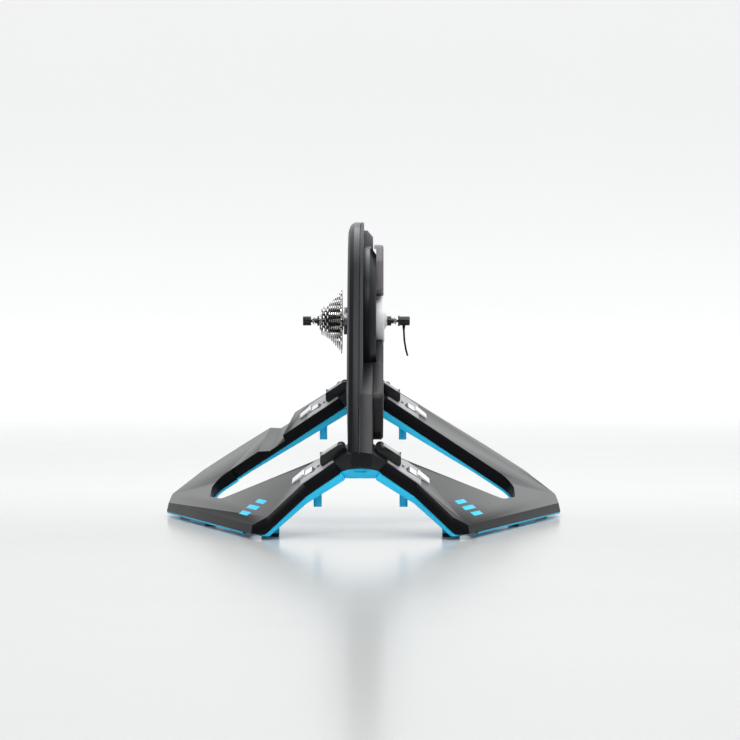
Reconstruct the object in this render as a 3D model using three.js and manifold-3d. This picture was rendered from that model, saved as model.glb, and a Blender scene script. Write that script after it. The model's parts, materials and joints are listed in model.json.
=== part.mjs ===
// Direct drive bike trainer: the rear wheel comes out and the bike's dropouts clamp on the axle.
// Millimetres, +Z up, +X to the non-drive side, +Y to the rear of the bike, standing on z = 0.
import * as THREE from 'three';
import { mergeVertices } from 'three/addons/utils/BufferGeometryUtils.js';
import Module from 'manifold-3d';

const wasm = await Module();
wasm.setup();

// Clearances that all pieces share
const fit = 0.3; // between pieces that touch
const turn = 0.6; // round pieces that turn
const overrun = 5; // how far a cutter runs past the face it cuts
const beyond = 900; // reach of a cutter that takes away everything on one side
const weldDistance = 1e-4;
const roundSides = 30;
const knuckleSides = 12;
const smallSides = 10;
const dotSides = 8;
const rimSteps = 44;
const edgeSteps = 30;
const keep = 1; // how deep joined solids run into each other

const fullTurn = 360;

// Where the main lines of the trainer lie
const axleHeight = 370;
const bodyRadius = 180; // of the round body; most of the body's sizes are shares of it
const hingeDropShare = 0.8739; // hinge lines below the axle
const hingeX = 45; // from the middle to each wing hinge
const hingeHeight = axleHeight - hingeDropShare * bodyRadius;
const wingReach = 393;
const rise = THREE.MathUtils.degToRad(14.9); // hinge lines climb towards the rear
const floorDip = 1.54; // how far under the floor the line of a wing's outer edge passes below the axle
const droop = Math.asin((hingeHeight + floorDip) / (Math.cos(rise) * wingReach)); // of the open wings
const footHeight = 6;
const frameFloor = footHeight + fit;

// Blocks of the frame that the wings hang on; depths are square to the top face of the wing
const block = {
  foreFront: bodyRadius * 1.8222, // front end of the front block, along the hinge line from the axle
  foreRear: bodyRadius * 1.5111,
  rearFront: bodyRadius * 0.3056,
  rearEnd: bodyRadius * 0.8256,
  top: 16.1, // flat top above the hinge lines
  topHalf: 21.5,
  crown: 6.2, // arch of the coloured skirt in the middle
};
const coverDepth = 20;
const colourGap = 0.6;
const frameDepth = 35;
const seam = 0.8; // open joint between a block and its wing

// Round body
const disc = {
  radius: bodyRadius,
  outer: 25,
  inner: 3.8,
  wall: 3,
  bevelWidth: 16,
  bevelDepth: 11,
  rim: 5,
  neckLeft: 21.5,
  neckStart: bodyRadius * 0.667,
  footSolid: bodyRadius * 1.028,
};
const plate = { left: 3, right: 2.5, radius: bodyRadius - fit, neckRight: 21.2 };
const drum = { radius: bodyRadius * 0.7611, right: 25, wall: 3, rimFlat: 14, faceRadius: bodyRadius * 0.6722 };
const fairing = {
  radius: bodyRadius * 0.9389,
  right: 19,
  foreY: bodyRadius * 0.1667,
  bevel: 10,
  fall: 12,
  wall: 2.5,
};
const housing = { right: 38.3, bevel: 3, wall: 2.5 };
const circuit = {
  rear: bodyRadius * -0.667,
  top: bodyRadius * -0.66,
  length: bodyRadius * 0.6,
  height: bodyRadius * 0.28,
  thickness: 1.6,
};
const inlet = { x: 30, z: bodyRadius * -0.778, radius: 5, socket: 3, length: 11, proud: 1.5 };

// Axle and what turns on it, as distances from the middle plane
const axle = {
  radius: 10,
  bore: 5.5,
  left: 78.5,
  right: 40.6,
};
const boss = {
  radius: 47,
  right: 38.5,
  flange: 39,
  flangeRight: 39.9,
  cone: 16.3,
  coneEnd: 8.8,
  end: 44.5,
};
const collar = { radius: 8.75, left: 44.8, face: 52.5, spigot: 4.8, end: 57 };
const leftNut = { radius: 8.75, face: 82.5, spigot: 4.8, end: 86.9 };
const rotor = {
  rimRadius: bodyRadius * 0.8889,
  rimWall: 8,
  rimLeft: 20,
  rimRight: 6,
  webLeft: 21.8,
  webRight: 19.2,
  hubRadius: 25,
  hubLeft: 34,
  hubRight: 13,
  bearingOuter: 15,
};
const magnet = { thickness: 4, left: 18.6, right: 7.5 };
const stator = {
  outer: bodyRadius * 0.8111,
  inner: bodyRadius * 0.3444,
  seat: 13,
  left: 17,
  right: 9,
  slots: 18,
  slotDepth: 26,
  slotWidth: 11,
};
const coil = { inner: stator.outer * 0.685, outer: stator.outer * 0.815, left: 18.7, height: 1.4 };
const bearing = { width: 6 };
const freehub = { radius: 17, step: 1.2, spacerWall: 1.5, left: 76, right: 35.5 };

// Cassette: teeth of each cog from the largest, at the chain's pitch
const cog = {
  chainPitch: 12.7,
  rollerRadius: 3.9,
  thickness: 1.7,
  spacing: 3.6,
  first: 37.2,
  carrier: 21,
  web: 1,
};
const largeTeeth = [28, 25, 23];
const middleTeeth = [21, 19, 17, 15];
const singleTeeth = [14, 13, 12, 11];
const lockring = { radius: 16.6, flange: 1.6, play: 1.5, edge: 1 };
const cogCount = largeTeeth.length + middleTeeth.length + singleTeeth.length;

// Quick release
const rodRadius = 2.5;
const cam = {
  radius: 9,
  flange: 9.8,
  left: 64.8,
  right: 86.4,
  pivotX: 75.4,
  cheekGap: 7,
  head: 6,
  pin: 2,
  flangeWidth: 2.2,
  edge: 1.2,
};
const lever = { stemRadius: 2.6, stem: 3, drop: 64, sweep: 7, thickness: 3.6, width: 9 };
// Left edge of the lever below its stem, as shares of its sweep and drop
const leverShares = [[0, 0.266], [0.143, 0.55], [0.55, 0.82], [1, 1]];
const thumb = { radius: 8.5, left: 108.7, right: 93.9, ribs: 12, ribDepth: 0.9, collar: 3 };
const spring = {
  wire: 0.55,
  wide: 7.2,
  narrow: 3.8,
  curls: 3.5,
  length: 5.6,
  stepsPerCurl: 8,
  wireSides: 5,
};

// Wings, in their own frame: u outwards, v along the hinge line, n square to the top face
const wing = {
  reach: wingReach,
  fore: 389.8,
  wall: 3.5,
  bevel: 11,
  root: 92,
  slim: 1.2,
  floorPlate: 2.9,
  rootDepth: 34,
  tipDepth: 25.2,
  taperEnd: 212,
};
// Outline as [share of reach, share of fore, corner radius, side flare], counter-clockwise
const wingOuterShares = [
  [0.162, -0.855, 0, 5],
  [0.345, -1, 0, 5],
  [0.424, -0.977, 0, 4.5],
  [1, 0.273, 6, 4.5],
  [0.989, 0.388, 6, 4.5],
  [0.813, 0.454, 0, 1],
  [0.588, 0.444, 0, 1],
  [0.341, 0.413, 0, 1],
];
// Cut-out between the legs, from the rear leg round to the front leg
const cutoutShares = [
  [0.681, 0.128, 24, 0],
  [0.723, 0.05, 26, 0],
  [0.724, -0.096, 30, 0],
  [0.644, -0.257, 40, 0],
];
const seamReach = 40; // how far the legs are drawn past the seam before it is cut

// Hinges and lock struts
const hingeInset = 1.1; // of the hinges' outer knuckles from the ends of their blocks
const hinge = {
  radius: 6.2,
  relief: 6.8,
  pin: 2.5,
  bore: 2.8,
  foreRear: block.foreRear + hingeInset,
  foreLength: 18,
  rearEnd: block.rearEnd - hingeInset,
};
const strutAside = 1; // front struts ahead of the middle of their block
const strutIn = 26.6; // rear struts behind the front of their block
const strut = {
  pivotU: -20,
  pivotN: 9,
  knuckle: 8,
  thickness: 18,
  foreV: -strutAside - (block.foreFront + block.foreRear) / 2,
  rearV: block.rearFront + strutIn,
  bottom: 0.6,
  heel: 6,
  top: 17,
  outer: 29,
  slot: 7,
  slotReach: 10,
  tongue: 6.4,
  pin: 2.5,
  lug: 3.4,
  lugHeight: 4,
};

// Latch plates and release levers in the tops of the legs
const latch = {
  thickness: 3,
  innerU: 2,
  outerU: 71,
  holeU: 44,
  hole: 7,
  margin: 4,
  dot: 1.6,
};
const tab = {
  width: 25,
  behind: 17,
  round: 2.4,
  nose: 1,
  dotAhead: 9,
  dotOut: 3,
  endU: 88,
  high: 4.8,
  low: 1.6,
  pivotU: 64,
  pivotN: 2.4,
  pin: 1.2,
  lift: 0.5,
  ear: 2.5,
};
const sleeve = { radius: 7.25, u: 58.5, ahead: 14.4, drop: 20.5 }; // ahead of its strut, below the leg

// Feet: place under the wing as shares of its reach and fore, size, and whether it lies along the outer edge
const feet = [
  { name: 'front', u: 0.3998, v: -0.8288, width: 30, depth: 32, along: false },
  { name: 'outer', u: 0.8158, v: -0.2175, width: 22, depth: 104, along: true },
  { name: 'rear', u: 0.9331, v: 0.216, width: 34, depth: 30, along: false },
];
const footRound = 5;
const footEdge = 1.2;

// Channel across the rear leg of the left wing, which clears the cassette when folded
const channel = {
  depth: 11,
  foreFrom: 138,
  foreTo: 192,
  floorFrom: 62,
  floorTo: 226,
  past: 60,
  rearFrom: 92,
  rearTo: 152,
  lip: 9,
};

// Between the folded left wing and the nut at the end of the quick release
const nutClearance = 3;

// Frames that the pieces are drawn in
const axisX = new THREE.Vector3(1, 0, 0);
const axisY = new THREE.Vector3(0, 1, 0);
const axisZ = new THREE.Vector3(0, 0, 1);
const acrossX = new THREE.Matrix4().makeBasis(axisY, axisZ, axisX); // outline in Y and Z
const acrossY = new THREE.Matrix4().makeBasis(axisX, axisZ, axisY); // outline in X and Z
const acrossZ = new THREE.Matrix4();
const bodyPlace = new THREE.Matrix4().makeTranslation(0, 0, axleHeight);
const saddlePlace = new THREE.Matrix4().makeRotationX(rise).setPosition(0, 0, hingeHeight);
const wingPlace = new THREE.Matrix4()
  .makeRotationFromEuler(new THREE.Euler(rise, droop, 0))
  .setPosition(hingeX, 0, hingeHeight);
const floorToWing = wingPlace.clone().invert();
const floorToBody = bodyPlace.clone().invert();
const saddleToBody = floorToBody.clone().multiply(saddlePlace);
const wingToBody = floorToBody.clone().multiply(wingPlace);

// Finishes
const finish = (color, roughness, metalness) =>
  new THREE.MeshStandardMaterial({ color, roughness, metalness });
const darkPaint = finish(0x3a3c40, 0.45, 0.3);
const coverPlastic = finish(0x6f7173, 0.55, 0);
const bodyPlastic = finish(0x34373b, 0.4, 0);
const purplePlastic = finish(0x55565c, 0.4, 0);
const bluePaint = finish(0x12a8e6, 0.4, 0.1);
const bright = finish(0xc9cbcc, 0.3, 0.9);
const steel = finish(0x8f9193, 0.35, 0.9);
const blackPlastic = finish(0x16171a, 0.4, 0);
const rubber = finish(0x121212, 0.9, 0);
const whitePlastic = finish(0xe8e9ea, 0.4, 0);
const copper = finish(0xa8652f, 0.4, 0.8);
const board = finish(0x1d5a33, 0.6, 0);

// Closed solid from a geometry, its faces turned outwards
function toSolid(geometry) {
  const bare = geometry.clone();
  bare.deleteAttribute('normal');
  bare.deleteAttribute('uv');
  const merged = mergeVertices(bare, weldDistance);
  const corners = merged.attributes.position.array;
  const faces = [];
  let volume = 0;
  const [a, b, c] = [new THREE.Vector3(), new THREE.Vector3(), new THREE.Vector3()];
  for (let i = 0; i < merged.index.count; i += 3) {
    const [p, q, r] = [0, 1, 2].map((k) => merged.index.getX(i + k));
    if (p === q || q === r || r === p) continue;
    a.fromArray(corners, 3 * p);
    b.fromArray(corners, 3 * q);
    c.fromArray(corners, 3 * r);
    volume += a.dot(b.cross(c));
    faces.push([p, q, r]);
  }
  const outward = volume > 0 ? faces : faces.map(([p, q, r]) => [p, r, q]);
  return new wasm.Manifold(
    new wasm.Mesh({
      numProp: 3,
      vertProperties: Float32Array.from(corners),
      triVerts: Uint32Array.from(outward.flat()),
    }),
  );
}

const join = (...solids) => solids.reduce((whole, solid) => whole.add(solid));
const cut = (whole, ...tools) => tools.reduce((rest, tool) => rest.subtract(tool), whole);
const moved = (solid, matrix) => solid.transform(matrix.elements);

function mesh(name, solid, material) {
  const result = solid.getMesh();
  const geometry = new THREE.BufferGeometry();
  geometry.setAttribute('position', new THREE.BufferAttribute(result.vertProperties, 3));
  geometry.setIndex(new THREE.BufferAttribute(result.triVerts, 1));
  geometry.computeVertexNormals();
  const piece = new THREE.Mesh(geometry, material);
  piece.name = name;
  return piece;
}

// Outline drawn in two axes of a frame and drawn out along the third
function prism(outline, from, to, frame) {
  const shape = new THREE.Shape(outline.map(([a, b]) => new THREE.Vector2(a, b)));
  const geometry = new THREE.ExtrudeGeometry(shape, { depth: Math.abs(to - from), bevelEnabled: false });
  geometry.translate(0, 0, Math.min(from, to));
  geometry.applyMatrix4(frame);
  return toSolid(geometry);
}

function box(x0, x1, y0, y1, z0, z1) {
  const geometry = new THREE.BoxGeometry(x1 - x0, y1 - y0, z1 - z0);
  geometry.translate((x0 + x1) / 2, (y0 + y1) / 2, (z0 + z1) / 2);
  return toSolid(geometry);
}

// Points of an arc, angles in degrees
function arc(a, b, radius, from, to, steps) {
  return Array.from({ length: steps + 1 }, (_, i) => {
    const angle = THREE.MathUtils.degToRad(from + ((to - from) * i) / steps);
    return [a + radius * Math.cos(angle), b + radius * Math.sin(angle)];
  });
}

function circle(a, b, radius, sides = smallSides) {
  const half = fullTurn / (2 * sides);
  return arc(a, b, radius, half, fullTurn - half, sides - 1);
}

const rod = (a, b, radius, from, to, frame, sides) => prism(circle(a, b, radius, sides), from, to, frame);

// Turned piece round the axle from [x, radius] pairs that run from axis to axis, or close on themselves
function turned(profile, sides = roundSides) {
  const points = profile.map(([x, radius]) => new THREE.Vector2(radius, x));
  const geometry = new THREE.LatheGeometry(points, sides);
  geometry.rotateZ(-Math.PI / 2);
  return toSolid(geometry);
}

const disk = (radius, from, to) => turned([[from, 0], [from, radius], [to, radius], [to, 0]]);

function ring(inner, outer, from, to, sides) {
  return turned([[from, inner], [from, outer], [to, outer], [to, inner], [from, inner]], sides);
}

function area(outline) {
  return outline.reduce((sum, [a, b], i) => {
    const [c, d] = outline[(i + 1) % outline.length];
    return sum + (a * d - b * c) / 2;
  }, 0);
}

// Outline with each side moved inwards by its own distance
function inset(outline, distance) {
  const distances = Array.isArray(distance) ? distance : outline.map(() => distance);
  const turnSign = Math.sign(area(outline));
  const normals = outline.map(([a, b], i) => {
    const [c, d] = outline[(i + 1) % outline.length];
    const length = Math.hypot(c - a, d - b);
    return [(-(d - b) / length) * turnSign, ((c - a) / length) * turnSign];
  });
  return outline.map(([a, b], i) => {
    const before = (i + outline.length - 1) % outline.length;
    const [n, m] = [normals[before], normals[i]];
    const cross = n[0] * m[1] - n[1] * m[0];
    const [p, q] = [distances[before], distances[i]];
    if (Math.abs(cross) < weldDistance) return [a + n[0] * p, b + n[1] * p];
    return [a + (p * m[1] - q * n[1]) / cross, b + (q * n[0] - p * m[0]) / cross];
  });
}

// Closed solid through matching outlines, each at its own level
function stack(drawn, levels, frame) {
  const outlines = area(drawn[0]) > 0 ? drawn : drawn.map((outline) => [...outline].reverse());
  const count = outlines[0].length;
  const positions = outlines.flatMap((outline, i) => outline.flatMap(([a, b]) => [a, b, levels[i]]));
  const faces = [];
  const flat = (outline) => outline.map(([a, b]) => new THREE.Vector2(a, b));
  const cap = (outline) => THREE.ShapeUtils.triangulateShape(flat(outline), []);
  const last = count * (outlines.length - 1);
  cap(outlines[0]).forEach(([i, j, k]) => faces.push(i, k, j));
  cap(outlines[outlines.length - 1]).forEach(([i, j, k]) => faces.push(last + i, last + j, last + k));
  for (let level = 0; level < last; level += count) {
    for (let i = 0; i < count; i += 1) {
      const j = (i + 1) % count;
      faces.push(level + i, level + j, level + count + j);
      faces.push(level + i, level + count + j, level + count + i);
    }
  }
  const geometry = new THREE.BufferGeometry();
  geometry.setAttribute('position', new THREE.Float32BufferAttribute(positions, 3));
  geometry.setIndex(faces);
  geometry.applyMatrix4(frame);
  return toSolid(geometry);
}

// Outline whose corners [a, b, radius, ...] are rounded; what else a corner holds goes to its points
function rounded(corners, steps = 5) {
  const points = corners.flatMap(([a, b, radius, ...rest], i) => {
    if (!radius) return [[a, b, ...rest]];
    const here = new THREE.Vector2(a, b);
    const neighbour = (step) => new THREE.Vector2(...corners[(i + step + corners.length) % corners.length]);
    const back = neighbour(-1).sub(here);
    const ahead = neighbour(1).sub(here);
    const half = Math.acos(back.clone().normalize().dot(ahead.clone().normalize())) / 2;
    const run = Math.min(radius / Math.tan(half), back.length() / 2, ahead.length() / 2);
    const start = here.clone().addScaledVector(back.normalize(), run);
    const end = here.clone().addScaledVector(ahead.normalize(), run);
    const curve = new THREE.QuadraticBezierCurve(start, here, end);
    return curve.getPoints(steps).map((point) => [point.x, point.y, ...rest]);
  });
  return points.filter(([a, b], i) => {
    const [c, d] = points[(i + 1) % points.length];
    return Math.hypot(c - a, d - b) > fit;
  });
}

// Height and sideways place of a point on the seam plane, in the frame of the blocks
function seamPoint(depth, back = 0) {
  return [
    hingeX - Math.sin(droop) * depth - Math.cos(droop) * back,
    -Math.cos(droop) * depth + Math.sin(droop) * back,
  ];
}

const mirrored = (outline) => outline.map(([x, h]) => [-x, h]).reverse();

// Arched line across a block at a depth
function archLine(depth, steps = 8) {
  const [x, h] = seamPoint(depth, seam / 2);
  return Array.from({ length: steps + 1 }, (_, i) => {
    const across = x - (2 * x * i) / steps;
    return [across, h + block.crown * (1 - (across / x) ** 2)];
  });
}

// Section of a block, grown on all sides for the pieces that are cut to sit on it
function blockOutline(grow = 0) {
  const right = [seamPoint(0, seam / 2), [block.topHalf, block.top]];
  const outline = [...archLine(coverDepth).reverse(), ...right, ...mirrored(right)];
  return inset(outline, -grow);
}

function skirtOutline() {
  const [x, h] = seamPoint(frameDepth, seam / 2);
  return [...archLine(coverDepth + colourGap), [-x, h], [x, h]];
}

const blockSolid = (from, to, grow) => prism(blockOutline(grow), from, to, acrossY);

const frontRange = [-block.foreFront, -block.foreRear];
const rearRange = [block.rearFront, block.rearEnd];
const skirtSolid = ([from, to], grow) => prism(inset(skirtOutline(), -grow), from - grow, to + grow, acrossY);

// Room over a block and its skirt that the body pieces leave free
function blockRoom([from, to]) {
  const whole = join(blockSolid(from - overrun, to + fit, fit), skirtSolid([from - overrun, to], fit));
  return moved(whole, saddleToBody);
}

// Side view of the body from the axle: place and corner radius as shares of the body's radius
const inBody = (shares) => shares.map((share) => share * bodyRadius);
const alongHinge = (v, h) => [
  Math.cos(rise) * v - Math.sin(rise) * h,
  hingeHeight + Math.sin(rise) * v + Math.cos(rise) * h - axleHeight,
];
const blockBottom = seamPoint(frameDepth)[1];

// Foot of the neck, at the front end of the front block's flat top
const neckFoot = alongHinge(-block.foreFront + fit, block.top + fit);
const castFoot = alongHinge(-block.foreFront + keep, block.top - keep);
const archShares = [[-1.1111, -1.2222], [-0.3333, -1.0278], [0.1111, -0.9611]];
const archPoints = archShares.map(inBody);
const archFront = alongHinge(-block.foreRear - overrun, blockBottom + overrun);
const archRear = alongHinge(block.rearFront + overrun, blockBottom + overrun);

const headEndAngle = -95;

// Neck and round head in one outline, from the neck's foot over the top and back underneath
function headOutline(radius, foot) {
  const [y, z] = foot;
  const away = THREE.MathUtils.radToDeg(Math.atan2(z, y)) + fullTurn;
  const tangent = away - THREE.MathUtils.radToDeg(Math.acos(radius / Math.hypot(y, z)));
  const head = arc(0, 0, radius, tangent, headEndAngle, rimSteps);
  return [[y, z], ...head, archPoints[1], archPoints[0], archFront];
}

// Round cover of the drive side, with the wide bevel of its rim, open towards the frame
function driveSideCover() {
  const outer = headOutline(disc.radius, neckFoot);
  const rimLevel = -disc.outer + disc.bevelDepth;
  const shell = stack(
    [inset(outer, disc.bevelWidth), inset(outer, disc.rim), outer, outer],
    [-disc.outer, -disc.outer + disc.bevelDepth / 2 - disc.wall / 2, rimLevel, -disc.inner],
    acrossX,
  );
  const hollow = stack(
    [inset(outer, disc.bevelWidth + disc.wall), inset(outer, disc.wall), inset(outer, disc.wall)],
    [-disc.outer + disc.wall, rimLevel + disc.wall / 2, -disc.inner + overrun],
    acrossX,
  );
  const foot = box(-beyond, beyond, -beyond, 0, -beyond, -disc.footSolid);
  const taper = prism(
    [
      [-disc.outer, -disc.neckStart],
      [-disc.neckLeft, neckFoot[1]],
      [-disc.neckLeft, -beyond],
      [-beyond, -beyond],
      [-beyond, -disc.neckStart],
    ],
    -beyond,
    -disc.radius / 2,
    acrossY,
  );
  const hubHole = disk(rotor.hubRadius + turn, -disc.outer - overrun, 0);
  return cut(shell, cut(hollow, foot), taper, hubHole, blockRoom(frontRange));
}

const neckShares = [[-1.55, -0.7], [-0.6389, -0.4111]];
const neckCorner = neckShares.map(inBody);

// Thick right half of the neck, below the round motor cover
function neckSolid() {
  const rearTop = alongHinge(block.rearFront + overrun, block.top - overrun);
  const outline = [castFoot, ...neckCorner, [0, neckCorner[1][1]], rearTop, archRear];
  const whole = [...outline, archPoints[2], archPoints[1], archPoints[0], archFront];
  const bevel = whole.map((_, i) => (i < 3 ? housing.bevel / 2 : 0));
  const edge = plate.neckRight - housing.bevel / 2;
  return stack([whole, whole, inset(whole, bevel)], [0, edge, plate.neckRight], acrossX);
}

// Ranges along a hinge line of its frame knuckles and, between them, the wing's knuckle
function hingeRanges(fore) {
  const start = fore ? -hinge.foreRear - hinge.foreLength : hinge.rearEnd - 3 * hinge.foreLength;
  const length = fore ? hinge.foreLength : 3 * hinge.foreLength;
  const third = length / 3;
  return [0, 1, 2].map((i) => {
    const from = start + i * third;
    return [from + (i ? fit / 2 : 0), from + third - (i < 2 ? fit / 2 : 0)];
  });
}

const legs = [
  { name: 'front', fore: true, v: strut.foreV },
  { name: 'rear', fore: false, v: strut.rearV },
];

// Frame side of one hinge and one strut pivot, in the wing's frame
function frameLugs(leg) {
  const ranges = hingeRanges(leg.fore);
  const knuckle = ([from, to]) => rod(0, 0, hinge.radius, from, to, acrossY, knuckleSides);
  const knuckles = [knuckle(ranges[0]), knuckle(ranges[2])];
  const half = strut.tongue / 2;
  const [from, to] = [leg.v - half, leg.v + half];
  const eye = rod(strut.pivotU, strut.pivotN, strut.knuckle - keep, from, to, acrossY, knuckleSides);
  const stem = box(
    strut.pivotU - strut.tongue,
    strut.pivotU + strut.tongue,
    leg.v - half,
    leg.v + half,
    -strut.tongue,
    strut.pivotN,
  );
  return join(...knuckles, eye, stem);
}

// What the wing's knuckle, the hinge pin and the strut's pin take out of the frame
function lugCutters(leg) {
  const [first, middle, last] = hingeRanges(leg.fore);
  return [
    rod(0, 0, hinge.relief, middle[0] - fit, middle[1] + fit, acrossY, knuckleSides),
    rod(0, 0, hinge.bore, first[0] - overrun, last[1] + overrun, acrossY),
    rod(strut.pivotU, strut.pivotN, strut.pin + fit, leg.v - overrun, leg.v + overrun, acrossY),
  ];
}

const flipX = new THREE.Matrix4().makeScale(-1, 1, 1);

// Slot in the rear block that the round cover stands in
function coverRoom() {
  const outline = inset(headOutline(disc.radius, neckFoot), -fit);
  const ahead = box(-beyond, beyond, -beyond, 0, -beyond, beyond);
  return cut(prism(outline, -disc.outer - fit, -disc.inner + fit, acrossX), ahead);
}

// The cast frame: upright plate, thick neck, the two blocks and every lug that the wings hang on
function frameCasting() {
  const upright = prism(headOutline(plate.radius, castFoot), -plate.left, plate.right, acrossX);
  const blocks = [frontRange, rearRange].map(([from, to]) => moved(blockSolid(from, to, 0), saddleToBody));
  const statorSeat = ring(stator.inner, stator.inner + stator.seat, -stator.right + fit, -plate.left + keep);
  let casting = join(upright, neckSolid(), ...blocks, statorSeat);
  const seat = disk(stator.inner + stator.seat, -disc.outer, -disc.inner + fit);
  const drumRoom = disk(drum.radius + fit, plate.right, drum.right + overrun);
  const skirtRoom = [frontRange, rearRange].map((range) => moved(skirtSolid(range, fit), saddleToBody));
  const tubeHole = disk(axle.radius + fit, -beyond, beyond);
  for (const leg of legs) {
    const lugs = moved(frameLugs(leg), wingToBody);
    casting = join(casting, lugs, moved(lugs, flipX));
  }
  casting = cut(casting, cut(coverRoom(), seat), drumRoom, ...skirtRoom);
  for (const leg of legs) {
    for (const tool of lugCutters(leg)) {
      const placed = moved(tool, wingToBody);
      casting = cut(casting, placed, moved(placed, flipX));
    }
  }
  return cut(casting, tubeHole);
}

// Motor cover: a shallow drum that is open towards the frame
function motorCover() {
  const shell = turned([
    [plate.right + fit, 0],
    [plate.right + fit, drum.radius],
    [drum.rimFlat, drum.radius],
    [drum.right, drum.faceRadius],
    [drum.right, 0],
  ]);
  const hollow = turned([
    [0, 0],
    [0, drum.radius - drum.wall],
    [drum.rimFlat - keep, drum.radius - drum.wall],
    [drum.right - drum.wall, drum.faceRadius - drum.wall],
    [drum.right - drum.wall, 0],
  ]);
  const hole = disk(axle.radius + fit, 0, beyond);
  return cut(shell, hollow, hole, blockRoom(rearRange));
}

const fairingEndAngle = 60;

// Fairing behind the motor cover, following the rim of the body
function rearFairing() {
  const start = (radius) => THREE.MathUtils.radToDeg(Math.acos(fairing.foreY / radius));
  const edge = (radius) => [
    [fairing.foreY, 0],
    ...arc(0, 0, radius, start(radius), -fairingEndAngle, edgeSteps),
    [fairing.foreY, -radius * Math.sin(THREE.MathUtils.degToRad(fairingEndAngle))],
  ];
  const levels = [plate.right + fit, fairing.right - fairing.bevel, fairing.right];
  const foot = edge(fairing.radius);
  const shell = stack([foot, foot, edge(fairing.radius - fairing.fall)], levels, acrossX);
  const inside = fairing.radius - fairing.wall;
  const hollow = stack(
    [edge(inside), edge(inside), edge(inside - fairing.fall)],
    [0, fairing.right - fairing.bevel, fairing.right - fairing.wall],
    acrossX,
  );
  const shelf = box(0, beyond, 0, fairing.foreY + fairing.wall, -beyond, beyond);
  const drumRoom = disk(drum.radius + fit, 0, beyond);
  const belowDrum = box(0, beyond, 0, block.rearEnd / 2, -beyond, -drum.radius / 2);
  return cut(shell, cut(hollow, shelf), drumRoom, blockRoom(rearRange), belowDrum);
}

const housingRearShare = 0.2222;
const housingRear = housingRearShare * bodyRadius;
const housingShares = [
  [-0.6389, -0.4111, 0.3333],
  [-1.55, -0.7, 0.0778],
  [-1.55, -1.0667, 0.0778],
  [-1.4722, -1.1389, 0.0556],
  [-1, -1.15, 0.1111],
  [-0.3333, -1, 0.1111],
  [housingRearShare, -0.9278, 0.0556],
  [housingRearShare, -0.2222, 0],
  [0.2889, -0.1389, 0],
  [0.2889, 0.6111, 0.0889],
  [0.1667, 0.7667, 0.0889],
  [-0.1944, 0.7667, 0.0889],
  [-0.3111, 0.6111, 0.0889],
  [-0.3111, 0.2833, 0.0444],
  [-0.0667, 0.2833, 0],
  [-0.0667, -0.1389, 0],
  [-0.3333, -0.25, 0.1667],
];

// Electronics housing on the non-drive side, open towards the body
function electronicsHousing() {
  const outline = rounded(housingShares.map(inBody), 3);
  const left = plate.neckRight + fit;
  const levels = [left, housing.right - housing.bevel, housing.right];
  const shell = stack([outline, outline, inset(outline, housing.bevel)], levels, acrossX);
  const inside = inset(outline, housing.wall + housing.bevel);
  const hollow = prism(inside, left - overrun, housing.right - housing.wall, acrossX);
  const drumRoom = disk(drum.radius + fit, 0, drum.right + fit);
  const bossWall = disk(boss.radius + fit + housing.wall, 0, beyond);
  const bossHole = disk(boss.radius + fit, 0, beyond);
  const [from, to] = [housingRear - inlet.length, housingRear + overrun];
  const inletHole = rod(inlet.x, inlet.z, inlet.radius + fit, from, to, acrossY, knuckleSides);
  return cut(shell, cut(hollow, bossWall), drumRoom, bossHole, inletHole);
}

// Bright boss that carries the axle on the non-drive side
function axleBoss() {
  return turned([
    [drum.right + fit, axle.radius + fit],
    [drum.right + fit, boss.radius],
    [boss.right, boss.radius],
    [boss.right, boss.flange],
    [boss.flangeRight, boss.flange],
    [boss.flangeRight, boss.cone],
    [boss.end, boss.coneEnd],
    [boss.end, axle.bore],
    [axle.right + fit, axle.bore],
    [axle.right + fit, axle.radius + fit],
    [drum.right + fit, axle.radius + fit],
  ]);
}

const axleTube = () => ring(axle.bore, axle.radius, -axle.left, axle.right);

// End piece of the axle: its face takes the dropout, its spigot fits the slot
function axleEnd(sizes, side, inside) {
  const bore = rodRadius + turn;
  return turned([
    [side * inside, bore],
    [side * inside, sizes.radius],
    [side * sizes.face, sizes.radius],
    [side * sizes.face, sizes.spigot],
    [side * sizes.end, sizes.spigot],
    [side * sizes.end, bore],
    [side * inside, bore],
  ]);
}

// Rotor: rim with the hub that comes out through the drive side cover
function rotorBell() {
  const rimInner = rotor.rimRadius - rotor.rimWall;
  return turned([
    [-rotor.hubRight, rotor.bearingOuter],
    [-rotor.hubRight, rotor.hubRadius],
    [-rotor.webRight, rotor.hubRadius],
    [-rotor.webRight, rimInner],
    [-rotor.rimRight, rimInner],
    [-rotor.rimRight, rotor.rimRadius],
    [-rotor.rimLeft, rotor.rimRadius],
    [-rotor.webLeft, rotor.rimRadius - rotor.rimWall / 2],
    [-rotor.webLeft, rotor.hubRadius],
    [-rotor.hubLeft, rotor.hubRadius],
    [-rotor.hubLeft, rotor.bearingOuter],
    [-rotor.hubRight, rotor.bearingOuter],
  ]);
}

function statorCore() {
  const core = ring(stator.inner, stator.outer, -stator.left, -stator.right);
  const slots = Array.from({ length: stator.slots }, (_, i) => {
    const slot = box(
      -stator.left - overrun,
      -stator.right + overrun,
      stator.outer - stator.slotDepth,
      stator.outer + overrun,
      -stator.slotWidth / 2,
      stator.slotWidth / 2,
    );
    return slot.rotate([(fullTurn * i) / stator.slots, 0, 0]);
  });
  return cut(core, ...slots);
}

const tipShare = 0.8;
const tipFromShare = 0.36;

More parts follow.
